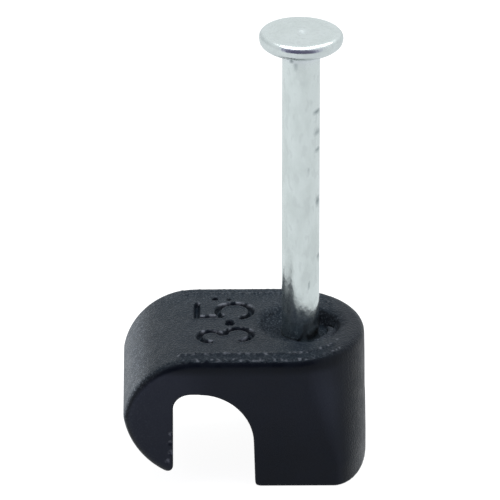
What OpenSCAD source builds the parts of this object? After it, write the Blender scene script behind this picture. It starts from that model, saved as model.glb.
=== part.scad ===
/* [Cable channel] */
// Clear width of the channel at its mouth, for a 3.5 mm cable
channel_w = 3.46; // [2.6:0.02:6]
// Height of the channel ceiling above the foot
channel_h = 4.28; // [3.6:0.02:7]
// Radius of the corner between ceiling and hook arm
hook_corner_r = 0.7; // [0.3:0.05:1]
// Radius of the arch between ceiling and nail block
arch_r = 2.3; // [1:0.1:2.6]
// Lean of the block wall, so that the channel opens towards its mouth
mouth_flare = 0.06; // [0.02:0.02:0.3]

/* [Clip body] */
// Length of the body along the cable
body_d = 7.3; // [5:0.1:10]
// Thickness of the crown over the channel
crown_t = 1.62; // [1.2:0.02:2.5]
// Thickness of the hook arm at its widest
arm_t = 2.13; // [1.6:0.01:3]
// Plastic between the channel and the nail hole
web_t = 1.11; // [0.8:0.01:2]
// Plastic between the nail hole and the round end
end_t = 1.96; // [1.6:0.01:3]
// Outer radius of the shoulder above the hook
shoulder_r = 3.14; // [2.6:0.02:3.6]
// Outer radius of the hook below the shoulder
nose_r = 3.45; // [3:0.05:4]
// Radius of the hook's blunt tip
tip_r = 0.31; // [0.2:0.01:0.45]
// Gap between the hook's tip and the wall that the foot stands on
tip_lift = 0.63; // [0.3:0.01:1.2]
// Rounding of the front and back edges
edge_r = 0.42; // [0.1:0.02:0.5]
// Rounding of the foot's edge at the channel mouth
foot_edge_r = 0.17; // [0.05:0.01:0.3]

/* [Round end] */
// How far the end bulges at the foot, as half an ellipse across the body
foot_bulge = 1.45; // [1:0.05:2.4]
// How far the end bulges at the crown, where it is almost half a circle
crown_bulge = 3.4; // [2.6:0.1:3.6]
// Height of the foot's upright band, before the end turns rounder
foot_band = 1; // [0.4:0.1:2]
// Draft of the end between foot and crown
end_draft = 0.08; // [0:0.02:0.3]
// Rounding of the crown's edge around the end
crown_edge_r = 0.4; // [0.2:0.05:0.8]

/* [Nail] */
// Diameter of the nail's shank
shank_d = 1.6; // [1.2:0.05:2.2]
// Diameter of the nail's head
head_d = 3.54; // [3:0.02:4.4]
// Thickness of the head at its rim
head_t = 0.54; // [0.4:0.02:0.7]
// Rounding of the head's rim
rim_r = 0.24; // [0.05:0.01:0.3]
// Depth of the cone under the head
neck_h = 0.24; // [0.04:0.02:0.3]
// Fillet between the head's cone and the shank
neck_r = 0.5; // [0.1:0.02:0.6]
// Length of the nail from point to top
nail_l = 19; // [14:0.1:30]
// Length of the four-sided point
point_l = 2.2; // [1.2:0.1:3.5]
// Height of the point above the foot as the clip is supplied
point_lift = 0.4; // [0.1:0.02:1]

/* [Fits] */
// Radial clearance between shank and hole
hole_clear = 0.03; // [0.01:0.01:0.1]
// Width of the crown that the head's rim lands on, around the seat
seat_lip = 0.09; // [0.05:0.01:0.3]
// Depth of the seat that takes in the head's underside
seat_depth = 0.66; // [0.5:0.02:0.9]
// Width of the seat's sloping wall
seat_slope = 0.3; // [0.1:0.02:0.4]

/* [Hidden] */
eps = 0.01;
over = 1;
curve_fn = 96;
form_fn = 64;
edge_fn = 32;

shank_r = shank_d / 2;
head_r = head_d / 2;
hole_r = shank_r + hole_clear;
half_d = body_d / 2;
body_h = channel_h + crown_t;

// Stations along the body, from the nail's axis
wall_x = -(hole_r + web_t);
hook_x = wall_x - channel_w;
left_x = hook_x - arm_t;
right_x = hole_r + end_t;

// Channel roof, with each radius limited by the space beside it
arch_x = wall_x - mouth_flare;
corner_r = min(hook_corner_r, channel_w / 3);
roof_r = min(arch_r, arch_x - hook_x - corner_r, channel_h - foot_edge_r);

// Blunt tip, touching the channel wall and the inside of the nose circle
tip_x = hook_x - tip_r;
tip_z = tip_lift + tip_r;
nose_x = left_x + nose_r;
nose_z = tip_z + sqrt(pow(nose_r - tip_r, 2) - pow(tip_x - nose_x, 2));
nose_dir = [tip_x - nose_x, tip_z - nose_z] / (nose_r - tip_r);

// Round seat for the head
seat_r = head_r - seat_lip;
seat_floor_r = seat_r - seat_slope;

// Heights on the nail, with the radii under the head limited by the space there
head_top = point_lift + nail_l;
head_under = head_top - head_t;
head_round_r = min(rim_r, head_t / 2 - eps);
head_flat_r = head_r - head_round_r;
fillet_r = min(neck_r, head_flat_r - shank_r - 0.1);
neck_base_r = shank_r + fillet_r;
neck_end = head_under - neck_h;

// Disc across the body, lying along Y, with both of its rims rounded
module cross_disc(r) {
    rotate([90, 0, 0])
        rotate_extrude($fn = form_fn)
            rim_profile(r, body_d, edge_r);
}

// Half section of a disc of radius r and thickness t, centred on its thickness
module rim_profile(r, t, round_r) {
    translate([0, -t / 2])
        square([r - round_r, t]);
    translate([0, round_r - t / 2])
        square([r, t - 2 * round_r]);
    for (side = [-1, 1])
        translate([r - round_r, side * (t / 2 - round_r)])
            circle(round_r, $fn = edge_fn);
}

// Shoulder above and nose below, as the space above the foot that both circles share
module hook_form() {
    intersection() {
        translate([left_x, -half_d, 0])
            cube([wall_x - left_x, body_d, body_h]);
        translate([left_x + shoulder_r, 0, body_h - shoulder_r])
            cross_disc(shoulder_r);
        translate([nose_x, 0, nose_z])
            cross_disc(nose_r);
    }
}

// Upright band at the foot, from the channel wall to a flat elliptical end
module foot_form() {
    translate([right_x - foot_bulge, 0, 0])
        scale([foot_bulge / half_d, 1, 1])
            cylinder(h = foot_band, r = half_d, $fn = form_fn);
    translate([wall_x, -half_d, 0])
        cube([right_x - foot_bulge - wall_x, body_d, foot_band]);
}

// Crown at the nail's end, nearly half a circle, with its upper edge rounded
module crown_end_form() {
    slab = 2 * crown_edge_r;
    translate([right_x - end_draft - crown_bulge, 0, body_h - crown_edge_r])
        scale([crown_bulge / half_d, 1, 1])
            rotate_extrude($fn = form_fn)
                rim_profile(half_d, slab, crown_edge_r - eps);
}

// Outside of the moulding, one convex form before the channel is cut
module moulding() {
    hull() {
        hook_form();
        foot_form();
        crown_end_form();
    }
}

// What is left over between a square corner and a round one of radius r
module corner_waste(r) {
    difference() {
        square(r);
        translate([r, r])
            circle(r, $fn = curve_fn);
    }
}

// Section of the cable channel: flat ceiling, tight hook corner, wide arch
module channel_section() {
    difference() {
        polygon([
            [hook_x, -over],
            [hook_x, channel_h],
            [arch_x, channel_h],
            [arch_x, channel_h - roof_r],
            [wall_x, 0],
            [wall_x, -over]
        ]);
        translate([hook_x, channel_h])
            rotate(-90)
                corner_waste(corner_r);
        translate([arch_x, channel_h])
            rotate(180)
                corner_waste(roof_r);
    }
    translate([wall_x - eps, 0])
        corner_waste(foot_edge_r);
}

// Sharp end of the hook that the blunt tip leaves off
module tip_waste_section() {
    tip = [tip_x, tip_z];
    reach = 4 * tip_r;
    difference() {
        polygon([
            tip,
            tip + nose_dir * reach,
            tip + [reach, -reach],
            tip + [reach, 0]
        ]);
        translate(tip)
            circle(tip_r, $fn = curve_fn);
    }
}

// Cuts a section in XZ right through the body, from front to back
module through_body() {
    translate([0, half_d + over, 0])
        rotate([90, 0, 0])
            linear_extrude(height = body_d + 2 * over)
                children();
}

// Hole for the shank, with the tapered seat for the head above it
module nail_hole() {
    translate([0, 0, -over])
        cylinder(h = body_h + 2 * over, r = hole_r, $fn = curve_fn);
    translate([0, 0, body_h - seat_depth])
        cylinder(h = seat_depth, r1 = seat_floor_r, r2 = seat_r, $fn = curve_fn);
    translate([0, 0, body_h - eps])
        cylinder(h = over, r = seat_r, $fn = curve_fn);
}

// Moulded clip: crown, hook and nail block in one piece
module clip_body() {
    color([0.13, 0.14, 0.16])
        difference() {
            moulding();
            through_body()
                channel_section();
            through_body()
                tip_waste_section();
            nail_hole();
        }
}

// Half section of the nail: shank, fillet, cone and round-rimmed head
module nail_section() {
    translate([0, point_lift - over])
        square([shank_r, head_under - point_lift + over]);
    translate([0, head_under + head_t / 2])
        rim_profile(head_r, head_t, head_round_r);
    polygon([
        [0, neck_end],
        [neck_base_r, neck_end],
        [head_flat_r, head_under],
        [head_flat_r, head_under + eps],
        [0, head_under + eps]
    ]);
    difference() {
        translate([0, neck_end - fillet_r])
            square([neck_base_r, fillet_r + eps]);
        translate([neck_base_r, neck_end - fillet_r])
            circle(fillet_r, $fn = curve_fn);
    }
}

// Space outside one face of the point, which slopes up from the nail's axis
module point_face() {
    slope = atan2(point_l, shank_r);
    translate([0, 0, point_lift])
        rotate([0, -slope, 0])
            translate([-over, -shank_d, -4 * point_l])
                cube([4 * point_l + over, 2 * shank_d, 4 * point_l]);
}

// Wire nail with a flat head and a point cut on four sides
module nail() {
    color([0.76, 0.78, 0.77])
        difference() {
            rotate_extrude($fn = curve_fn)
                nail_section();
            for (turn = [0 : 90 : 270])
                rotate(turn + 45)
                    point_face();
        }
}

clip_body();
nail();
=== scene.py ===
import bpy
import math
import random
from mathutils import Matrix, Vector, noise


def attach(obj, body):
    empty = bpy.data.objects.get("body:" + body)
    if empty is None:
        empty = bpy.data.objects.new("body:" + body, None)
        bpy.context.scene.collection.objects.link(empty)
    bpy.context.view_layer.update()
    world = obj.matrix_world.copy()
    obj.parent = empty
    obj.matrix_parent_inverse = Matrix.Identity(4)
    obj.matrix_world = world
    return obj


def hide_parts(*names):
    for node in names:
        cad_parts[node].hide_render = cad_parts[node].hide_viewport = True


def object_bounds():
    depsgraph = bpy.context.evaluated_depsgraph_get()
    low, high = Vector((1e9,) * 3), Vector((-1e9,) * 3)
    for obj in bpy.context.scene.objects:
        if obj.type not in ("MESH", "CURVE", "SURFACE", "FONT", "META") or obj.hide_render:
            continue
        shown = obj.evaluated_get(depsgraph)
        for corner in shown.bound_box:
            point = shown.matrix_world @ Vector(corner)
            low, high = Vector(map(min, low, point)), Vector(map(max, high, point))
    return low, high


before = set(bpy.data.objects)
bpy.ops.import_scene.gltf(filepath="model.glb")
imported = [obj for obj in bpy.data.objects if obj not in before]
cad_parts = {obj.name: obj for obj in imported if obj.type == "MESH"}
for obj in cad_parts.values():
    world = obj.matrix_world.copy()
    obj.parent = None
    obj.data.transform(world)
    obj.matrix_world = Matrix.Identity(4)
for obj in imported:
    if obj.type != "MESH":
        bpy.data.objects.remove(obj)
cadLow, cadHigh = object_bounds()  # box of the bare CAD part
print("frame loaded:", sorted(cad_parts))

perMm = 0.001  # pieces are shaped in millimetres, then brought down to metres
weldGap = 0.0005  # points closer than this become one
hair = 0.0005  # how far a piece stays inside the CAD box
leastWeight = 0.002  # weaker weights are left out


# handling

def pick(piece):
    if bpy.context.object and bpy.context.object.mode != "OBJECT":
        bpy.ops.object.mode_set(mode="OBJECT")
    bpy.ops.object.select_all(action="DESELECT")
    piece.select_set(True)
    bpy.context.view_layer.objects.active = piece


def finishWith(piece, kind, **values):
    pick(piece)
    modifier = piece.modifiers.new(kind.lower(), kind)
    for key, value in values.items():
        setattr(modifier, key, value)
    bpy.ops.object.modifier_apply(modifier=modifier.name)


def joinTo(piece, others):
    pick(piece)
    for other in others:
        other.select_set(True)
    bpy.ops.object.join()


def editAll(piece):
    pick(piece)
    bpy.ops.object.mode_set(mode="EDIT")
    bpy.ops.mesh.select_all(action="SELECT")


def rescale(piece, factor):
    pick(piece)
    piece.scale = (factor, factor, factor)
    bpy.ops.object.transform_apply(location=True, rotation=True, scale=True)


def smoothStep(low, high, value):
    t = min(1, max(0, (value - low) / (high - low)))
    return t * t * (3 - 2 * t)


def bump(distance, reach):
    return (1 - (distance / reach) ** 2) ** 2 if distance < reach else 0


def weigh(piece, name, rule):
    group = piece.vertex_groups.new(name=name)
    for vertex in piece.data.vertices:
        weight = rule(vertex.co, vertex.normal)
        if weight > leastWeight:
            group.add([vertex.index], min(1, weight), "REPLACE")


def push(piece, group, height, direction="NORMAL", texture=None, middle=0):
    values = {
        "vertex_group": group,
        "strength": height,
        "direction": direction,
        "mid_level": middle,
    }
    if texture:
        values["texture"] = texture
        values["texture_coords"] = "LOCAL"
    finishWith(piece, "DISPLACE", **values)


def clouds(name, size, depth=2):
    texture = bpy.data.textures.new(name, "CLOUDS")
    texture.noise_scale = size
    texture.noise_depth = depth
    return texture


def keepInside(piece):
    low = [value / perMm + hair for value in cadLow]
    high = [value / perMm - hair for value in cadHigh]
    for vertex in piece.data.vertices:
        vertex.co = [min(max(vertex.co[i], low[i]), high[i]) for i in range(3)]


def trianglesIn(piece):
    return sum(len(face.vertices) - 2 for face in piece.data.polygons)


def paint(piece, name, rule):
    layer = piece.data.attributes.new(name, "FLOAT", "POINT")
    values = [rule(vertex.co, vertex.normal) for vertex in piece.data.vertices]
    layer.data.foreach_set("value", values)


def addTube(points, radius):
    line = bpy.data.curves.new("tube", "CURVE")
    line.dimensions = "3D"
    line.bevel_depth = radius
    line.bevel_resolution = 3
    line.use_fill_caps = True
    spline = line.splines.new("POLY")
    spline.points.add(len(points) - 1)
    for point, place in zip(spline.points, points):
        point.co = (*place, 1)
    tube = bpy.data.objects.new("tube", line)
    bpy.context.scene.collection.objects.link(tube)
    pick(tube)
    bpy.ops.object.convert(target="MESH")
    return tube


def cutWith(piece, cutter):
    finishWith(piece, "BOOLEAN", operation="DIFFERENCE", object=cutter, solver="EXACT")
    bpy.data.objects.remove(cutter)


def lathe(name, profile, sides):
    # one ring is drawn, then extruded and resized from station to station
    r, z = profile[0]
    bpy.ops.object.select_all(action="DESELECT")
    bpy.ops.mesh.primitive_circle_add(
        vertices=sides, radius=r, fill_type="NGON", location=(0, 0, z))
    piece = bpy.context.object
    piece.name = name
    pick(piece)
    bpy.ops.object.transform_apply(location=True, rotation=True, scale=True)
    editAll(piece)
    for nextR, nextZ in profile[1:]:
        bpy.ops.mesh.extrude_region_move(TRANSFORM_OT_translate={"value": (0, 0, nextZ - z)})
        bpy.ops.transform.resize(
            value=(nextR / r, nextR / r, 1), center_override=(0, 0, nextZ))
        r, z = nextR, nextZ
    bpy.ops.mesh.poke()
    bpy.ops.mesh.select_all(action="SELECT")
    bpy.ops.mesh.normals_make_consistent(inside=False)
    bpy.ops.object.mode_set(mode="OBJECT")
    return piece


# camera

cameraSet = {
    "elevation": 25.6,
    "azimuth": -0.5,
    "distance": 350,  # a long lens, so upright edges stay parallel
    "pixelsPerMm": 23.75,  # at the aim point, on a frame 500 pixels wide
    "frameWide": 500,
    "sensor": 36,
    "aim": (-2.13, 0, 9.32),
    "clip": (0.05, 5),  # metres
}


def makeCamera(s):
    turn, lift = math.radians(s["azimuth"]), math.radians(s["elevation"])
    level = math.cos(lift)
    back = Vector((math.sin(turn) * level, -math.cos(turn) * level, math.sin(lift)))
    place = (Vector(s["aim"]) + back * s["distance"]) * perMm
    facing = (-back).to_track_quat("-Z", "Y").to_euler()
    bpy.ops.object.camera_add(location=place, rotation=facing)
    camera = bpy.context.object
    camera.data.sensor_width = s["sensor"]
    camera.data.lens = s["sensor"] * s["pixelsPerMm"] * s["distance"] / s["frameWide"]
    camera.data.clip_start, camera.data.clip_end = s["clip"]
    bpy.context.scene.camera = camera


makeCamera(cameraSet)
bpy.context.scene.view_settings.view_transform = "Standard"
print("camera placed")


# finishes

fieldSet = {
    "roughness": 0.55,
    "fields": (  # detail, and the range of the noise that is stretched to 0 and 1
        ("Grain", 2, (0.25, 0.75)),
        ("Patch", 4, (0.36, 0.66)),
        ("Speck", 1, (0.54, 0.64)),
        ("Haze", 2, (0.35, 0.65)),
    ),
}

plasticSet = {
    "dark": (0.0022, 0.0040, 0.0075),
    "pale": (0.0050, 0.0078, 0.0125),
    # pale bluish colour: partly the plastic's random haze, partly painted sheen on the round end
    # and painted shade below the crown's edge
    "hazeAndSheen": (0.041, 0.047, 0.065),
    "hazeHigh": ("Z", (1.0, 5.0), (0.17, 0.44)),  # flat sides are paler towards the crown
    "hazeHook": ("X", (-5.6, -3.4), (0.6, 0.0)),  # and on the hook
    "hazeEdge": ("Z", (5.1, 5.5), (1.0, 0.1)),  # but not just below the crown's edge, which keeps the dark band there as painted shade
    "hazeUneven": 0.06,
    # bluish pale colour of a painted sheen: the light tent's reflection on faces turned up
    "topSheen": (0.0030, 0.0105, 0.0185),
    # pale specks: partly dust, partly painted glints
    "dustAndGlint": (0.14, 0.165, 0.19),
    # pale colour of painted glints on the trimmed edges, the marks' far lips, the chips and the
    # burr, partly whitened plastic
    "wornAndGlint": (0.30, 0.32, 0.36),
    "specular": 0.17,
    "tint": (0.92, 0.94, 1.0),
    "roughness": (0.32, 0.40),
    "deepRough": 0.3,  # the nail's seat and the trimmed edges are left rougher
    "grainHeight": 0.00002,
    "squeezeZ": 1,
    "scales": {"Grain": 12.0, "Patch": 1.4, "Speck": 12.0, "Haze": 0.45},  # per millimetre
}

zincSet = {
    "bright": (0.83, 0.895, 0.88),
    "dull": (0.765, 0.83, 0.81),
    "spot": (0.72, 0.775, 0.765),
    "spotShare": 0.5,
    # paler colour painted on the flare under the head, the top's rim and its dimple: painted light
    # against the shade under the head, and a painted soft highlight at the dimple
    "flankLight": (0.90, 0.95, 0.965),
    # dark colour of the scuff marks, also used for painted shade low on the shank and painted
    # reflection on the head's sides
    "scuffAndShade": (0.30, 0.35, 0.36),
    "roughness": (0.16, 0.26),
    "forgedRough": 0.34,  # the rim and the flare under it keep the die's dull skin
    "grainHeight": 0.000005,
    "squeezeZ": 0.45,  # patches are drawn out along the wire
    "scales": {"Grain": 4.0, "Patch": 1.3, "Speck": 4.5, "Haze": 0.5},
}


def addNode(tree, kind, **values):
    node = tree.nodes.new("ShaderNode" + kind)
    for key, value in values.items():
        if key in node.inputs:
            node.inputs[key].default_value = value
        else:
            setattr(node, key, value)
    return node


def stretch(tree, source, low, high, toLow, toHigh):
    node = addNode(tree, "MapRange", interpolation_type="SMOOTHSTEP")
    for i, value in enumerate((low, high, toLow, toHigh)):
        node.inputs[i + 1].default_value = value
    tree.links.new(source, node.inputs["Value"])
    return node.outputs["Result"]


def blendColour(tree, factor, first, second):
    node = addNode(tree, "Mix", data_type="RGBA")
    tree.links.new(factor, node.inputs["Factor"])
    for socket, colour in ((node.inputs[6], first), (node.inputs[7], second)):
        if isinstance(colour, tuple):
            socket.default_value = (*colour, 1)
        else:
            tree.links.new(colour, socket)
    return node.outputs[2]


def combine(tree, operation, *sources):
    node = addNode(tree, "Math", operation=operation)
    for socket, source in zip(node.inputs, sources):
        if isinstance(source, float):
            socket.default_value = source
        else:
            tree.links.new(source, socket)
    return node.outputs[0]


def mixShaders(tree, factor, first, second):
    node = addNode(tree, "MixShader")
    for socket, source in zip(node.inputs, (factor, first, second)):
        tree.links.new(source, socket)
    return node.outputs[0]


def readPaint(tree, name):
    return addNode(tree, "Attribute", attribute_name=name).outputs["Fac"]


def makeSurfaceGroup(s):
    # fine grain, soft patches, sparse specks and a broad haze, shared by both finishes
    group = bpy.data.node_groups.new("surfaceField", "ShaderNodeTree")
    sockets = group.interface
    sockets.new_socket("Place", in_out="INPUT", socket_type="NodeSocketVector")
    for name, detail, between in s["fields"]:
        sockets.new_socket(name + " scale", in_out="INPUT", socket_type="NodeSocketFloat")
        sockets.new_socket(name, in_out="OUTPUT", socket_type="NodeSocketFloat")
    start = group.nodes.new("NodeGroupInput")
    end = group.nodes.new("NodeGroupOutput")
    for name, detail, between in s["fields"]:
        field = addNode(group, "TexNoise", Detail=detail, Roughness=s["roughness"])
        group.links.new(start.outputs["Place"], field.inputs["Vector"])
        group.links.new(start.outputs[name + " scale"], field.inputs["Scale"])
        group.links.new(stretch(group, field.outputs["Fac"], *between, 0, 1), end.inputs[name])
    return group


def startMaterial(name, s):
    material = bpy.data.materials.new(name)
    material.use_nodes = True
    tree = material.node_tree
    place = addNode(tree, "TexCoord")
    toMm = 1 / perMm
    mapping = addNode(tree, "Mapping", Scale=(toMm, toMm, toMm * s["squeezeZ"]))
    field = addNode(tree, "Group", node_tree=surfaceGroup)
    for key, value in s["scales"].items():
        field.inputs[key + " scale"].default_value = value
    tree.links.new(place.outputs["Object"], mapping.inputs["Vector"])
    tree.links.new(mapping.outputs["Vector"], field.inputs["Place"])
    return material, tree, field.outputs, tree.nodes["Principled BSDF"]


def addRelief(tree, shader, s, height):
    relief = addNode(tree, "Bump", Strength=1, Distance=s["grainHeight"])
    tree.links.new(height, relief.inputs["Height"])
    tree.links.new(relief.outputs["Normal"], shader.inputs["Normal"])


def addRoughness(tree, shader, s, patch, rougher, extra):
    smooth = stretch(tree, patch, 0, 1, *s["roughness"])
    rough = combine(tree, "MULTIPLY_ADD", rougher, extra, smooth)
    tree.links.new(rough, shader.inputs["Roughness"])


def hazeAndSheenOver(tree, s, hazeAndSheen):
    # pale haze on the flat sides by height and place, and painted sheen on the round end as
    # painted
    axes = addNode(tree, "SeparateXYZ")
    tree.links.new(tree.nodes["Mapping"].outputs["Vector"], axes.inputs[0])
    high, hook, rim = (
        stretch(tree, axes.outputs[axis], *between, *values)
        for axis, between, values in (s["hazeHigh"], s["hazeHook"], s["hazeEdge"])
    )
    side = combine(tree, "MULTIPLY", combine(tree, "ADD", high, hook), rim)
    flatSide, turnSheen = readPaint(tree, "flatSide"), readPaint(tree, "turnSheen")
    thick = combine(tree, "MULTIPLY_ADD", side, flatSide, turnSheen)
    return combine(tree, "MULTIPLY_ADD", hazeAndSheen, s["hazeUneven"], thick)


def makePlastic(s):
    material, tree, field, shader = startMaterial("blackPlastic", s)
    addRelief(tree, shader, s, combine(tree, "MULTIPLY", field["Grain"], readPaint(tree, "sandy")))
    # painted light on the hook's outer side, read from the mesh
    speck, hookSheen = field["Speck"], readPaint(tree, "hookSheen")
    dustGlintMix = combine(tree, "MULTIPLY_ADD", speck, readPaint(tree, "dustAndGlintShare"), hookSheen)
    # painted glints: specks on the hook's outer side, and the painted pale edges and lips
    glintShare = combine(tree, "MULTIPLY_ADD", speck, hookSheen, readPaint(tree, "wornAndGlint"))
    colour = blendColour(tree, field["Patch"], s["dark"], s["pale"])
    # painted sheen on the crown and on other faces turned up
    colour = blendColour(tree, readPaint(tree, "topSheen"), colour, s["topSheen"])
    colour = blendColour(tree, hazeAndSheenOver(tree, s, field["Haze"]), colour, s["hazeAndSheen"])
    colour = blendColour(tree, dustGlintMix, colour, s["dustAndGlint"])
    colour = blendColour(tree, glintShare, colour, s["wornAndGlint"])
    tree.links.new(colour, shader.inputs["Base Color"])
    addRoughness(tree, shader, s, field["Patch"], readPaint(tree, "deep"), s["deepRough"])
    shader.inputs["Specular IOR Level"].default_value = s["specular"]
    shader.inputs["Specular Tint"].default_value = (*s["tint"], 1)
    return material


def makeZinc(s):
    material, tree, field, shader = startMaterial("zincPlate", s)
    addRelief(tree, shader, s, field["Grain"])
    forgedAndLit = readPaint(tree, "forgedAndLit")
    faint = stretch(tree, field["Speck"], 0, 1, 0, s["spotShare"])
    colour = blendColour(tree, field["Patch"], s["bright"], s["dull"])
    colour = blendColour(tree, faint, colour, s["spot"])
    colour = blendColour(tree, forgedAndLit, colour, s["flankLight"])
    colour = blendColour(tree, readPaint(tree, "scuffAndShade"), colour, s["scuffAndShade"])
    tree.links.new(colour, shader.inputs["Base Color"])
    addRoughness(tree, shader, s, field["Patch"], forgedAndLit, s["forgedRough"])
    shader.inputs["Metallic"].default_value = 1
    return material


surfaceGroup = makeSurfaceGroup(fieldSet)
blackPlastic = makePlastic(plasticSet)
zincPlate = makeZinc(zincSet)
for node, material in (("clip_body", blackPlastic), ("nail", zincPlate)):
    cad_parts[node].data.materials.clear()
    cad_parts[node].data.materials.append(material)
print("finishes made")


# clip shell: its form

shellSet = {
    "voxel": 0.047,
    "evenOut": 20,  # rounds of smoothing, which take the facets out
    "triangles": 190000,
    "crown": 5.9,
    "crownBand": 0.35,  # what lies less than this below the crown belongs to it
    "halfDeep": 3.65,
    "endCentre": -0.69,  # where the crown's straight edges turn into the round end
    "endReach": 3.4,
    "chips": (  # x, z, reach
        (-5.53, 2.07, 0.17),
        (-5.47, 1.61, 0.19),
        (-5.62, 1.22, 0.17),
        (-5.50, 2.5, 0.13),
    ),
    "chipZone": (-5, -3),  # no chips past this x and this y
    "chipDeep": 0.05,
    "partingHigh": 2.78,
    "partingStep": 0.012,
    "partingSharp": 0.04,
    "partingFade": (0.2, 2),  # above the step, the end comes out again
    "partingFrom": (1.7, 2.4),
    "plainFront": 0.99,  # flat sides, underside, channel and nail hole need few triangles
    "plainUnder": -0.2,
    "plainAcross": (-5.45, 0.9),
    "plainDeep": 3.3,
    "plainHigh": 4.4,
}

seatSet = {
    "fill": ((1.9, 5.0), (1.9, 5.86), (1.5, 5.76), (1.1, 5.56), (0.5, 5.40)),  # radius, height
    "sides": 64,
    "bore": ((0, 0), 0.77, 3.5),  # centre, radius, floor
    "pocket": ((1.35, -0.25), 1.6, 5.25),  # deep side of the seat
    "cutLong": 4,
    "burr": (
        (0.55, -1.10, 5.46),
        (0.95, -0.90, 5.52),
        (1.22, -0.55, 5.55),
        (1.34, -0.10, 5.56),
        (1.22, 0.28, 5.48),
    ),
    "burrThick": 0.17,
    "low": 5.05,
    "facing": 0.1,
    "inner": (0.82, 0.92),
    "outer": (1.5, 2.1),
    "dish": 0.07,  # worn rim around the seat
    "dishFrom": (1.1, 1.5),
    "tear": 0.12,
    "tearSize": 0.2,
    "tearDetail": 3,
    "tearMiddle": 0.55,
    "tearSoften": 4,
}

markSet = {
    "across": (-5, -1.5),
    "halfTall": 2.7,
    "width": 0.16,  # half of a stroke
    "wall": (0.08, 1),  # where a stroke's wall drops, in half strokes
    "depth": 0.23,
    "lip": 0.03,
    "lipAt": 1.25,
    "lipReach": 0.09,
    "lipSize": 0.2,
    "arcSteps": 24,
    "arcs": (  # centre, radius, from and to in degrees, share of the depth
        ((-3.78, -1.30), 0.50, 265, 27, 1),
        ((-2.635, -1.11), 0.57, 173, -77, 1),
        ((-2.78, 1.14), 0.72, 220, -65, 1),
    ),
    "bars": (
        ((-4.36, 1.81), (-4.38, 0.56), 1),
        ((-4.38, 0.58), (-3.36, 0.64), 0.6),
    ),
    "pits": (  # centre, reach
        ((-2.99, -0.04), 0.23),
        ((-2.99, 0.1), 0.2),
        ((-3.60, 2.34), 0.16),
        ((-3.02, 2.26), 0.10),
    ),
    "pitWall": (0.5, 1),
}

edgeSet = {
    "seed": 5,
    "from": -5.2,
    "to": 1.45,
    "after": 0.2,  # what is trimmed runs out past the end
    "clear": 1.5,  # the middle of the crown is left alone
    "rows": ((0.74, 0.14, 1), (0.24, 0.12, 0.4)),  # inset and reach of a bead, height at the back
    "start": 0.3,
    "sway": 0.04,
    "rise": (0.35, 1),
    "spread": (0.7, 1.25),
    "spacing": (0.15, 0.3),
    "near": 0.25,
    "height": 0.07,
    "strip": 0.72,  # width of the sunken strip
    "stripWall": (0.03, 0.05),
    "stripFacing": (0.72, 0.92),
    "fade": 0.4,
    "jag": 0.06,
    "jagLong": 0.17,
    "jagCount": 80,
    "sink": 0.035,
}


def strokesOf(s):
    lines = []
    for (x, y), r, start, end, share in s["arcs"]:
        steps = s["arcSteps"]
        turns = [math.radians(start + (end - start) * i / steps) for i in range(steps + 1)]
        points = [(x + r * math.cos(t), y + r * math.sin(t)) for t in turns]
        lines += [(a, b, share) for a, b in zip(points, points[1:])]
    lines += s["bars"]
    return [(Vector(a), Vector(b), share) for a, b, share in lines]


def fromLine(line, point):
    a, along = line[0], line[1] - line[0]
    t = min(1, max(0, (point - a).dot(along) / along.length_squared))
    return point - a - along * t


def gapTo(line, point):
    return fromLine(line, point).length


def crownEdge(x, inset):
    # front edge of the crown at x, drawn in by the inset
    deep, reach = shellSet["halfDeep"] - inset, shellSet["endReach"] - inset
    out = max(0, x - shellSet["endCentre"]) / reach
    return deep * math.sqrt(max(0, 1 - out * out))


def beadsOf(s):
    dice = random.Random(s["seed"])
    placed = []
    for side in (-1, 1):
        for inset, reach, atBack in s["rows"]:
            x = s["from"] + dice.uniform(0, s["start"])
            while x < s["to"]:
                y = crownEdge(x, inset + dice.uniform(-s["sway"], s["sway"]))
                high = dice.uniform(*s["rise"]) * (atBack if side > 0 else 1)
                placed.append((Vector((x, side * y)), reach * dice.uniform(*s["spread"]), high))
                x += dice.uniform(*s["spacing"])
    return placed


def jagsOf(s):
    dice = random.Random(s["seed"] + 1)
    return [dice.uniform(-1, 1) * s["jag"] for i in range(s["jagCount"])]


strokes = strokesOf(markSet)
beads = beadsOf(edgeSet)
jags = jagsOf(edgeSet)
burrLines = [(Vector(a), Vector(b)) for a, b in zip(seatSet["burr"], seatSet["burr"][1:])]


def onCrown(co):
    return co.z > shellSet["crown"] - shellSet["crownBand"]


def onMark(co):
    low, high = markSet["across"]
    return onCrown(co) and low < co.x < high and abs(co.y) <= markSet["halfTall"]


def nearEdge(co, before=0):
    s = edgeSet
    if not onCrown(co) or abs(co.y) < s["clear"]:
        return False
    return s["from"] - before < co.x < s["to"] + s["after"]


def groove(co, normal):
    if not onMark(co):
        return 0
    s, place = markSet, co.xy
    cuts = [share * (1 - smoothStep(*s["wall"], gapTo((a, b), place) / s["width"]))
            for a, b, share in strokes]
    cuts += [1 - smoothStep(*s["pitWall"], (place - Vector(centre)).length / reach)
             for centre, reach in s["pits"]]
    return max(cuts)


def lip(co, normal):
    if not onMark(co):
        return 0
    gap = min(gapTo(line, co.xy) for line in strokes)
    return bump(abs(gap - markSet["width"] * markSet["lipAt"]), markSet["lipReach"])


def seat(co, normal):
    s = seatSet
    if co.z < s["low"] or normal.z <= s["facing"]:
        return 0
    r = co.xy.length
    return smoothStep(*s["inner"], r) * (1 - smoothStep(*s["outer"], r))


def dish(co, normal):
    return seat(co, normal) * smoothStep(*seatSet["dishFrom"], co.xy.length)


def chip(co, normal):
    lastX, lastY = shellSet["chipZone"]
    if co.x > lastX or co.y > lastY:
        return 0
    return max(bump(math.hypot(co.x - x, co.z - z), reach) for x, z, reach in shellSet["chips"])


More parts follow.
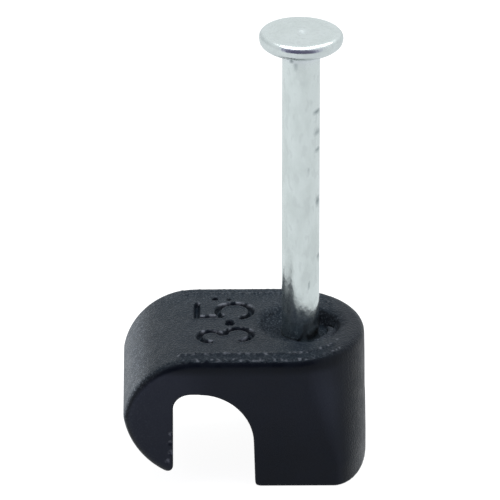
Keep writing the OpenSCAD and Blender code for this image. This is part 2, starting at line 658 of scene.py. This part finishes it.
def upperEnd(co, normal):
    s = shellSet
    high, sharp = s["partingHigh"], s["partingSharp"]
    low, top = s["partingFade"]
    step = smoothStep(high - sharp, high + sharp, co.z)
    step *= 1 - smoothStep(high + low, high + top, co.z)
    return step * smoothStep(*s["partingFrom"], co.x)


def jagAt(co):
    at = (co.x - edgeSet["from"]) / edgeSet["jagLong"] + (len(jags) // 2 if co.y > 0 else 0)
    i = int(at)
    here, there = jags[i % len(jags)], jags[(i + 1) % len(jags)]
    return here + (there - here) * (at - i)


def strip(co, normal):
    if not nearEdge(co):
        return 0
    s = edgeSet
    inner = crownEdge(co.x, s["strip"] + jagAt(co))
    before, after = s["stripWall"]
    ends = smoothStep(s["from"], s["from"] + s["fade"], co.x)
    ends *= 1 - smoothStep(s["to"] - s["fade"], s["to"] + s["after"], co.x)
    sunk = ends * smoothStep(inner - before, inner + after, abs(co.y))
    return sunk * smoothStep(*s["stripFacing"], normal.z)


def bead(co, normal):
    if not nearEdge(co, edgeSet["after"]):
        return 0
    place = co.xy
    close = [one for one in beads if abs(one[0].x - place.x) < edgeSet["near"]]
    return max((high * bump((place - at).length, reach) for at, reach, high in close), default=0)


def plain(co, normal):
    s = shellSet
    low, high = s["plainAcross"]
    level = abs(normal.y) > s["plainFront"] or normal.z < s["plainUnder"]
    inside = low < co.x < high and co.z < s["plainHigh"] and abs(co.y) < s["plainDeep"]
    return 1 if level or inside else 0


def startShell(s, hole):
    shell = bpy.data.objects.new("clipShell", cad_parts["clip_body"].data.copy())
    bpy.context.scene.collection.objects.link(shell)
    rescale(shell, 1 / perMm)
    editAll(shell)
    bpy.ops.mesh.remove_doubles(threshold=weldGap)
    bpy.ops.object.mode_set(mode="OBJECT")
    # the seat slopes gently on the hook's side and is deep on the others
    fill = lathe("seatFill", hole["fill"], hole["sides"])
    for (x, y), radius, floor in (hole["bore"], hole["pocket"]):
        bpy.ops.mesh.primitive_cylinder_add(
            vertices=hole["sides"], radius=radius, depth=hole["cutLong"],
            location=(x, y, floor + hole["cutLong"] / 2))
        cutWith(fill, bpy.context.object)
    joinTo(shell, [fill, addTube(hole["burr"], hole["burrThick"])])
    finishWith(shell, "REMESH", mode="VOXEL", voxel_size=s["voxel"])
    finishWith(shell, "SMOOTH", iterations=s["evenOut"])
    print("shell meshed:", len(shell.data.polygons))
    return shell


def shapeShell(shell, s, hole, mark, edge):
    weigh(shell, "groove", groove)
    weigh(shell, "lip", lip)
    push(shell, "lip", mark["lip"], "Z", clouds("lipWear", mark["lipSize"]))
    push(shell, "groove", -mark["depth"], "Z")
    print("size mark cut")

    weigh(shell, "dish", dish)
    push(shell, "dish", -hole["dish"], "Z")
    weigh(shell, "seat", seat)
    torn = clouds("seatWear", hole["tearSize"], hole["tearDetail"])
    push(shell, "seat", hole["tear"], "NORMAL", torn, hole["tearMiddle"])
    finishWith(shell, "SMOOTH", iterations=hole["tearSoften"], vertex_group="seat")
    weigh(shell, "chip", chip)
    push(shell, "chip", s["chipDeep"], "Y")
    weigh(shell, "upperEnd", upperEnd)
    push(shell, "upperEnd", -s["partingStep"])
    print("seat and parting line shaped")

    weigh(shell, "strip", strip)
    push(shell, "strip", -edge["sink"], "Z")
    weigh(shell, "bead", bead)
    push(shell, "bead", edge["height"], "Z")
    print("ragged edges raised")

    weigh(shell, "plain", plain)
    share = min(1, s["triangles"] / trianglesIn(shell))
    finishWith(shell, "DECIMATE", ratio=share, vertex_group="plain")
    keepInside(shell)
    shell.vertex_groups.clear()


# clip shell: where each finish and each painted light shows

paintSet = {
    "flat": (0.3, 0.85),  # front and back come smooth from the mould, the rest is sandy
    "upward": (0.5, 0.9),
    "rising": (0.1, 0.5),
    "sand": (0.15, 0.85),  # everywhere, and around the body
    "sandLost": 0.3,  # on the round end
    "sandEnd": (0.3, 1.8),
    "hookSheen": 0.68,  # painted light: the hook's outer side is paler, for the grazing light from the left
    "hookSheenFacing": (0.56, 0.98),
    "hookSheenFrom": (-5.2, -6.8),
    "seatSheen": 0.06,
    "seatFront": (0.3, 0.9),
    "dustAndGlint": 0.05,
    "speckTop": 0.1,
    "speckBack": 1.2,
    "speckHook": 0.25,
    "speckHookSide": 0.45,
    "speckFlat": 0.12,
    "speckSeat": 0.2,
    "hookFrom": (-5.2, -7),
    "backFrom": (1, 3),
    "endFrom": (0.5, 2),
    "sideFacing": (0.7, 0.95),
    "turnedFrom": 0.3,  # painted sheen where the front turns into the round end, for the lighter grazing reflection there
    "turnIn": (0.12, 0.55),
    "turnOut": (0.5, 0.9),
    "turnSheenLevel": (0.22, 0.35),  # everywhere, and more in the middle of its height
    "turnedMiddle": 4,
    "turnedReach": 1.8,
    "turnedEnd": (5.1, 5.5),
    # painted sheen on faces turned up: more towards the back, less on the round end
    "topSheenFacing": (0.6, 0.95),
    "topSheenAround": 0.5,
    "topSheen": 0.8,
    "topSheenBack": 0.2,
    "topSheenBackFrom": (0, 3),
    "topSheenLost": 0.45,
    "raggedSoft": 0.5,
    "edgeGlint": 0.4,  # trimmed edges, far lips of the marks, chips and the burr are painted pale: painted glints of the overhead lamp, partly stress-whitened plastic
    "edgeReach": 0.13,
    "edgeFine": 6.5,
    "edgeBack": 0.4,
    "lipGlint": 0.8,
    "lipAt": 0.9,
    "lipReach": 0.06,
    "lipFacing": (0.04, 0.12),
    "lipRagged": (5, -0.2),
    "chipRagged": (9, -0.2),
    "burrGlint": 0.09,
    "burrReach": 0.25,
    "burrZone": (2, 5),  # radius around the nail, and lowest height
    "deepStrip": 0.6,
}


def around(normal):
    return 1 - smoothStep(*paintSet["flat"], abs(normal.y))


def sandy(co, normal):
    s = paintSet
    everywhere, more = s["sand"]
    roundEnd = smoothStep(*s["sandEnd"], co.x) * (1 - smoothStep(*s["upward"], normal.z))
    return everywhere + more * around(normal) * (1 - s["sandLost"] * roundEnd)


def hookSide(co, normal):
    s = paintSet
    facing = smoothStep(*s["hookSheenFacing"], -normal.x)
    return facing * smoothStep(*s["hookSheenFrom"], co.x) * around(normal)


# painted light: paler on the hook's outer side, and a little in the front of the seat against its
# shade
def hookSheen(co, normal):
    s = paintSet
    inSeat = s["seatSheen"] * seat(co, normal) * smoothStep(*s["seatFront"], -co.y)
    return s["hookSheen"] * hookSide(co, normal) + inSeat


# sparse pale specks, partly dust and partly painted glints, strongest on the hook's outer side and
# towards the back
def dustAndGlintShare(co, normal):
    s = paintSet
    hook = smoothStep(*s["hookFrom"], co.x)
    grainy = around(normal)
    spread = 1 + s["speckBack"] * smoothStep(*s["backFrom"], co.y) - smoothStep(*s["endFrom"], co.x)
    top = s["speckTop"] * smoothStep(*s["upward"], normal.z) * spread
    sanded = s["dustAndGlint"] + top + s["speckHook"] * hook + s["speckHookSide"] * hookSide(co, normal)
    flat = (1 - grainy) * s["speckFlat"] * hook
    return grainy * sanded + flat + s["speckSeat"] * seat(co, normal)


def flatSide(co, normal):
    s = paintSet
    return smoothStep(*s["sideFacing"], abs(normal.y)) * (1 - smoothStep(*s["rising"], normal.z))


def turnSheen(co, normal):
    s = paintSet
    if co.x < s["turnedFrom"]:
        return 0
    everywhere, more = s["turnSheenLevel"]
    turn = smoothStep(*s["turnIn"], normal.x) * (1 - smoothStep(*s["turnOut"], normal.x))
    level = everywhere + more * bump(abs(co.z - s["turnedMiddle"]), s["turnedReach"])
    upright = turn * level * (1 - smoothStep(*s["rising"], normal.z))
    return upright * (1 - smoothStep(*s["turnedEnd"], co.z))


def topSheen(co, normal):
    s = paintSet
    low, high = s["topSheenFacing"]
    spread = smoothStep(low - s["topSheenAround"] * around(normal), high, normal.z)
    back = s["topSheenBack"] * smoothStep(*s["topSheenBackFrom"], co.y)
    return spread * (s["topSheen"] + back - s["topSheenLost"] * smoothStep(*s["endFrom"], co.x))


def ragged(co, fine, low=0):
    return smoothStep(low, low + paintSet["raggedSoft"], noise.noise(co * fine))


def edgeGlints(co):
    if not nearEdge(co):
        return 0
    s = paintSet
    rows = [bump(abs(abs(co.y) - crownEdge(co.x, inset)), s["edgeReach"])
            for inset, reach, atBack in edgeSet["rows"]]
    return max(rows) * ragged(co, s["edgeFine"]) * (1 if co.y < 0 else s["edgeBack"])


def farLip(co):
    if not onMark(co):
        return 0
    s = paintSet
    away = min((fromLine(line, co.xy) for line in strokes), key=lambda gap: gap.length)
    ridge = bump(abs(away.length - markSet["width"] * s["lipAt"]), s["lipReach"])
    return ridge * smoothStep(*s["lipFacing"], away.y) * ragged(co, *s["lipRagged"])


def burrGlints(co):
    reach, low = paintSet["burrZone"]
    if co.xy.length >= reach or co.z <= low:
        return 0
    return bump(min(gapTo(line, co) for line in burrLines), paintSet["burrReach"])


def wornAndGlint(co, normal):
    s = paintSet
    return max(
        s["edgeGlint"] * edgeGlints(co),
        s["lipGlint"] * farLip(co),
        chip(co, normal) * ragged(co, *s["chipRagged"]),
        s["burrGlint"] * burrGlints(co),
    )


def deep(co, normal):
    return max(paintSet["deepStrip"] * strip(co, normal), seat(co, normal))


shellPaint = {
    "sandy": sandy,
    "dustAndGlintShare": dustAndGlintShare,
    "flatSide": flatSide,
    "turnSheen": turnSheen,
    "topSheen": topSheen,
    "hookSheen": hookSheen,
    "wornAndGlint": wornAndGlint,
    "deep": deep,
}


def makeShell():
    shell = startShell(shellSet, seatSet)
    shapeShell(shell, shellSet, seatSet, markSet, edgeSet)
    for name, rule in shellPaint.items():
        paint(shell, name, rule)
    print("shell painted")
    rescale(shell, perMm)
    pick(shell)
    bpy.ops.object.shade_smooth()
    shell.data.materials.clear()
    shell.data.materials.append(blackPlastic)
    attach(shell, "clip")
    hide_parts("clip_body")
    print("clip shell done, triangles:", trianglesIn(shell))


makeShell()


# nail

nailSet = {
    "sides": 96,
    "shank": 0.8,
    "point": 0.4,
    "pointLong": 2.2,
    "step": 0.16,
    "neckGap": 0.05,  # the last ring of the shank stays this far below the neck
    "neck": (  # flare under the head, radius and height
        (0.80, 18.20),
        (0.806, 18.32),
        (0.825, 18.42),
        (0.87, 18.48),
        (0.96, 18.53),
        (1.10, 18.57),
        (1.28, 18.63),
        (1.44, 18.69),
        (1.56, 18.76),
    ),
    "head": 1.77,
    "widest": 19.10,
    "top": 19.375,
    "roundUnder": (0.19, 0.29, 8),  # width, height and steps of the rim's rounding
    "roundOver": (0.28, 0.275, 14),
    "topRings": 40,
    "turnBand": 0.1,  # the top begins this near the widest place
    "frontWear": 0.05,  # the top's front edge is softer
    "frontFrom": (1.1, 1.7),
    "tilt": 0.95,  # the top lies askew, higher on the hook's side
    "tiltReach": 2,
    "frontLift": 0.055,  # and leans back
    "liftFrom": (18.8, 19.1),
    "pip": ((0.06, -0.02), 0.26, -0.05),
    "pipBand": 0.01,
    "wave": 0.012,
    "waveSize": 0.7,
    "waveFrom": (3, 5),  # above the point
    "scuffs": (  # x, z, half width, half height
        (-0.41, 18.36, 0.13, 0.13),
        (-0.24, 18.11, 0.18, 0.17),
        (0.67, 15.9, 0.24, 0.14),
        (0.68, 15.02, 0.22, 0.15),
        (0.70, 14.2, 0.20, 0.13),
        (0.70, 11.78, 0.13, 0.32),
        (0.35, 8.0, 0.06, 0.22),
        (0.32, 13.3, 0.05, 0.13),
        (0.74, 9.16, 0.1, 0.16),
    ),
    "scuffZone": (0.2, 18.7),  # no scuffs past this y and this z
    "dent": 0.02,
    "dentBelow": 17,
    "seatShade": 0.3,  # below the crown the shank is painted darker: painted shade and reflection of the dark seat
    "seatShadeEnd": (5.9, 6.4),
    "seatShadeStray": 0.2,
    "seatShadeFine": 3,
    "sideFacing": (0.6, 0.5),  # painted reflection: the head's sides are darker, the hook's side most
    "sideFrom": (0.4, 0.75),
    "sideShade": (0.3, 0.15),
    "rimDull": 0.1,
    "rimFrom": (1.2, 1.45),
    "pipSoftGlint": 0.5,
    "pipSpread": 1.2,
    "underFrom": (18.1, 18.4),
    "underEnd": (18.7, 18.9),
    "underLost": 0.7,
    "sharpAngle": 35,
}


def nailProfile(s):
    profile = []
    z = s["point"]
    while z < s["neck"][0][1] - s["neckGap"]:
        profile.append((s["shank"], z))
        z += s["step"]
    profile += s["neck"]
    wide, tall, steps = s["roundUnder"]
    for i in range(1, steps + 1):
        t = math.radians(90 * i / steps)
        profile.append((s["head"] - wide * (1 - math.sin(t)), s["widest"] - tall * math.cos(t)))
    wide, tall, steps = s["roundOver"]
    for i in range(1, steps + 1):
        t = math.radians(90 * i / steps)
        profile.append((s["head"] - wide * (1 - math.cos(t)), s["widest"] + tall * math.sin(t)))
    flatTop, rings = s["head"] - wide, s["topRings"]
    for i in range(rings - 1, 0, -1):
        profile.append((flatTop * i / rings, s["top"]))
    return profile


def onTop(co):
    s = nailSet
    return smoothStep(s["widest"] - s["turnBand"], s["widest"] + s["turnBand"], co.z)


def scuffed(co):
    lastY, lastZ = nailSet["scuffZone"]
    if co.y > lastY or co.z > lastZ:
        return 0
    return max(bump(math.hypot((co.x - x) / wide, (co.z - z) / tall), 1)
               for x, z, wide, tall in nailSet["scuffs"])


def dent(co, normal):
    return scuffed(co) if co.z < nailSet["dentBelow"] else 0


def fromPip(co):
    return (co.xy - Vector(nailSet["pip"][0])).length


def pip(co, normal):
    high = co.z > nailSet["top"] - nailSet["pipBand"]
    return bump(fromPip(co), nailSet["pip"][1]) if high else 0


def frontWear(co, normal):
    return onTop(co) * smoothStep(*nailSet["frontFrom"], -co.y)


def wave(co, normal):
    low, high = nailSet["waveFrom"]
    return smoothStep(nailSet["point"] + low, nailSet["point"] + high, co.z)


def tiltUp(co, normal):
    return max(0, -co.x / nailSet["tiltReach"]) * onTop(co)


def tiltDown(co, normal):
    return max(0, co.x / nailSet["tiltReach"]) * onTop(co)


def frontLift(co, normal):
    s = nailSet
    return smoothStep(*s["liftFrom"], co.z) * (s["head"] - co.y) / (2 * s["head"])


# scuff marks, with painted shade on the shank in the seat and painted reflection on the head's
# sides
def scuffAndShade(co, normal):
    s = nailSet
    stray = s["seatShadeStray"] * noise.noise(co * s["seatShadeFine"])
    low = s["seatShade"] * (1 - smoothStep(*s["seatShadeEnd"], co.z + stray))
    middle, reach = s["sideFacing"]
    side = bump(abs(normal.z - middle), reach) * smoothStep(*s["sideFrom"], abs(normal.x))
    nearHook, farFromHook = s["sideShade"]
    dull = side * onTop(co) * (nearHook if co.x < 0 else farFromHook)
    return max(scuffed(co), low, dull)


# rougher where the die's dull skin is kept, and paler there as painted light under the head and a
# painted highlight at the dimple
def forgedAndLit(co, normal):
    s = nailSet
    rim = s["rimDull"] * smoothStep(*s["rimFrom"], co.xy.length)
    rim += s["pipSoftGlint"] * bump(fromPip(co), s["pip"][1] * s["pipSpread"])
    under = smoothStep(*s["underFrom"], co.z)
    under *= 1 - s["underLost"] * smoothStep(*s["underEnd"], co.z)
    return under * (1 - onTop(co)) + rim * onTop(co)


def makeNail(s):
    nail = lathe("wireNail", nailProfile(s), s["sides"])
    # four slanting cuts leave the point
    lean = math.atan2(s["shank"], s["pointLong"])
    for turn in (45, 135, 225, 315):
        a = math.radians(turn)
        outward = (math.cos(a) * math.cos(lean), math.sin(a) * math.cos(lean), -math.sin(lean))
        editAll(nail)
        bpy.ops.mesh.bisect(
            plane_co=(0, 0, s["point"]), plane_no=outward, use_fill=True, clear_outer=True)
    editAll(nail)
    bpy.ops.mesh.remove_doubles(threshold=weldGap)
    bpy.ops.mesh.normals_make_consistent(inside=False)
    bpy.ops.object.mode_set(mode="OBJECT")

    weigh(nail, "dent", dent)
    push(nail, "dent", -s["dent"])
    weigh(nail, "pip", pip)
    push(nail, "pip", s["pip"][2], "Z")
    weigh(nail, "frontWear", frontWear)
    push(nail, "frontWear", -s["frontWear"], "Z")
    weigh(nail, "wave", wave)
    push(nail, "wave", s["wave"], "NORMAL", clouds("wireWave", s["waveSize"]), 1)
    # each point of the top is lifted or lowered by its place across the head
    weigh(nail, "tiltUp", tiltUp)
    weigh(nail, "tiltDown", tiltDown)
    lift = s["tiltReach"] * math.tan(math.radians(s["tilt"]))
    push(nail, "tiltUp", lift, "Z")
    push(nail, "tiltDown", -lift, "Z")
    weigh(nail, "frontLift", frontLift)
    push(nail, "frontLift", s["frontLift"], "Z")
    nail.vertex_groups.clear()

    paint(nail, "scuffAndShade", scuffAndShade)
    paint(nail, "forgedAndLit", forgedAndLit)
    keepInside(nail)
    rescale(nail, perMm)
    pick(nail)
    bpy.ops.object.shade_smooth_by_angle(angle=math.radians(s["sharpAngle"]))
    nail.data.materials.clear()
    nail.data.materials.append(zincPlate)
    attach(nail, "nail")
    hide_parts("nail")
    print("nail done, triangles:", trianglesIn(nail))


makeNail(nailSet)


# stage

stageSet = {
    "size": 0.6,
    "drop": 0.00001,
    "seen": 0.94,  # glow that the camera sees, under the lit floor
    "mirrored": (0.80, 0.72),  # what metal and gloss see, on the hook's side and the other
    "mirrorBand": (-0.05, 0.05),
    "cast": (0.965, 1.0, 1.025),  # cool white
    "albedo": (0.25, 0.25, 0.25),
    "sky": 0.77,
    "dim": 0.115,  # the open side of the light tent, where the camera stands
    "dimCast": (0.8, 0.74, 1.3),
    "openSide": (0, -0.92, 0.39),
    "openFrom": (0.55, 0.85),
    "lamp": (0.045, 0.04, 0.25),
    "lampTurn": 25,
    "lampSize": (0.34, 0.07),
    "lampPower": 0.42,
}


def makeFloor(s):
    bpy.ops.mesh.primitive_plane_add(size=s["size"], location=(0, 0, -s["drop"]))
    floor = bpy.context.object
    floor.name = "studioFloor"
    material = bpy.data.materials.new("studioWhite")
    material.use_nodes = True
    tree = material.node_tree
    tree.nodes.clear()
    out = addNode(tree, "OutputMaterial")
    rays = addNode(tree, "LightPath").outputs
    matte = addNode(tree, "BsdfDiffuse", Color=(*s["albedo"], 1))
    seenGlow = addNode(tree, "Emission", Strength=s["seen"])
    glossGlow = addNode(tree, "Emission", Color=(*s["cast"], 1))
    axes = addNode(tree, "SeparateXYZ")
    tree.links.new(addNode(tree, "TexCoord").outputs["Object"], axes.inputs[0])
    across = stretch(tree, axes.outputs["X"], *s["mirrorBand"], *s["mirrored"])
    tree.links.new(across, glossGlow.inputs["Strength"])
    lit = addNode(tree, "AddShader")
    tree.links.new(seenGlow.outputs[0], lit.inputs[0])
    tree.links.new(matte.outputs[0], lit.inputs[1])
    plainRay = mixShaders(tree, rays["Is Camera Ray"], matte.outputs[0], lit.outputs[0])
    mirrored = combine(tree, "MAXIMUM", rays["Is Glossy Ray"], rays["Is Transmission Ray"])
    surface = mixShaders(tree, mirrored, plainRay, glossGlow.outputs[0])
    tree.links.new(surface, out.inputs["Surface"])
    floor.data.materials.append(material)


def makeWorld(s):
    world = bpy.data.worlds.new("lightTent")
    bpy.context.scene.world = world
    world.use_nodes = True
    tree = world.node_tree
    tree.nodes.clear()
    out = addNode(tree, "OutputWorld")
    rays = addNode(tree, "LightPath").outputs
    place = addNode(tree, "TexCoord")
    facing = addNode(tree, "VectorMath", operation="DOT_PRODUCT")
    tree.links.new(place.outputs["Generated"], facing.inputs[0])
    facing.inputs[1].default_value = s["openSide"]
    strength = stretch(tree, facing.outputs["Value"], *s["openFrom"], s["sky"], s["dim"])
    away = stretch(tree, facing.outputs["Value"], *s["openFrom"], 0, 1)
    tent = addNode(tree, "Background")
    tree.links.new(blendColour(tree, away, s["cast"], s["dimCast"]), tent.inputs["Color"])
    tree.links.new(strength, tent.inputs["Strength"])
    white = addNode(tree, "Background", Color=(1, 1, 1, 1), Strength=1)
    surface = mixShaders(tree, rays["Is Camera Ray"], tent.outputs[0], white.outputs[0])
    tree.links.new(surface, out.inputs["Surface"])


def addLamp(s):
    # a strip overhead, turned a little about the upright axis
    turn = (0, 0, math.radians(s["lampTurn"]))
    bpy.ops.object.light_add(type="AREA", location=s["lamp"], rotation=turn)
    lamp = bpy.context.object
    lamp.name = "topLamp"
    lamp.data.shape = "RECTANGLE"
    lamp.data.size, lamp.data.size_y = s["lampSize"]
    lamp.data.energy = s["lampPower"]


makeFloor(stageSet)
makeWorld(stageSet)
addLamp(stageSet)
print("stage set")
